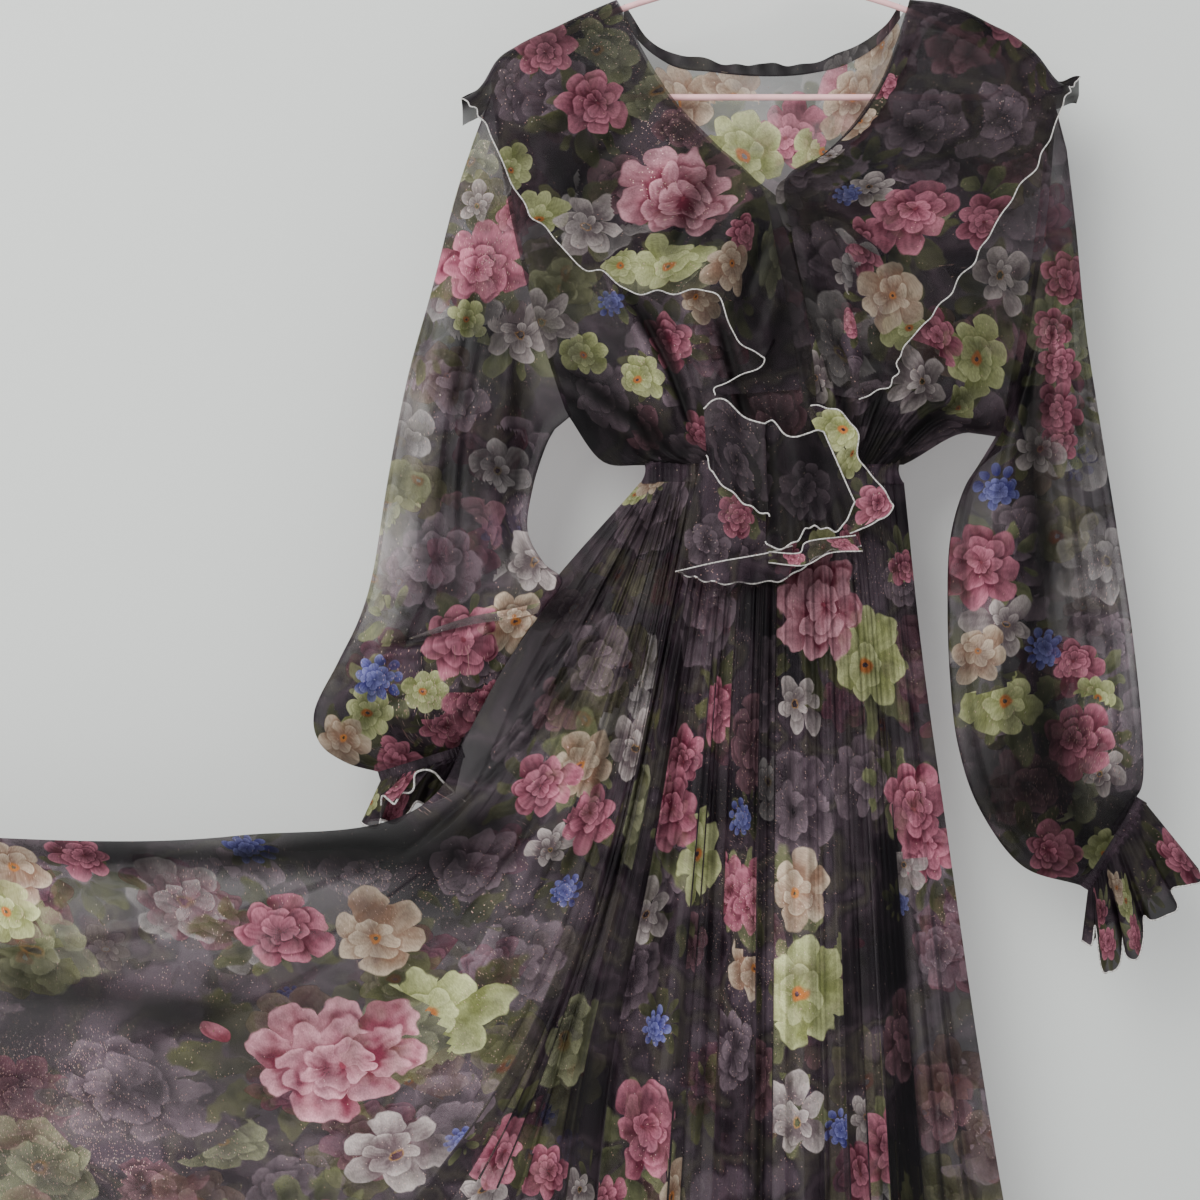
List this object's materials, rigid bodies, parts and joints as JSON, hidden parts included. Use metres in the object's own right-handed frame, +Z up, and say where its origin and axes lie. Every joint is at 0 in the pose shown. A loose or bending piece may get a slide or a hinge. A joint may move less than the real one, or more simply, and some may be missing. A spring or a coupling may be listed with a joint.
{
  "type": "maxi dress on a clothes hanger",
  "caption": "Long sheer dress with a wrapped, ruffled neckline, balloon sleeves and a wide skirt held out to one side, hanging on a thin clothes hanger.",
  "frame": {"origin": "the seat of the hanger's hook, the lowest point of the hook's inside top, where it rests on its rail", "axes": "+Z up, the dress hangs down along -Z; the front of the dress faces -Y; +X to the right as the front is looked at"},
  "size_m": [1.3257, 0.1338, 1.5075],
  "materials": {
    "printed_chiffon": "sheer dark chiffon with a pale flower print and fine glitter",
    "gathered_chiffon": "the same chiffon gathered over elastic",
    "hanger_plastic": "pale pink coating, satin"
  },
  "bodies": {
    "root": {"back_bodice": "printed_chiffon", "cascade_front": "printed_chiffon", "cascade_side": "printed_chiffon", "cascade_under": "printed_chiffon", "cuff_band_left": "gathered_chiffon", "cuff_band_right": "gathered_chiffon", "cuff_frill_left": "printed_chiffon", "cuff_frill_right": "printed_chiffon", "flounce_left": "printed_chiffon", "flounce_right": "printed_chiffon", "front_bodice_left": "printed_chiffon", "front_bodice_right": "printed_chiffon", "hanger_frame": "hanger_plastic", "hanger_hook": "hanger_plastic", "neck_band_back": "printed_chiffon", "neck_frill_right": "printed_chiffon", "skirt_back": "printed_chiffon", "skirt_front": "printed_chiffon", "sleeve_left": "printed_chiffon", "sleeve_right": "printed_chiffon", "waistband": "gathered_chiffon"}
  },
  "joints": []
}
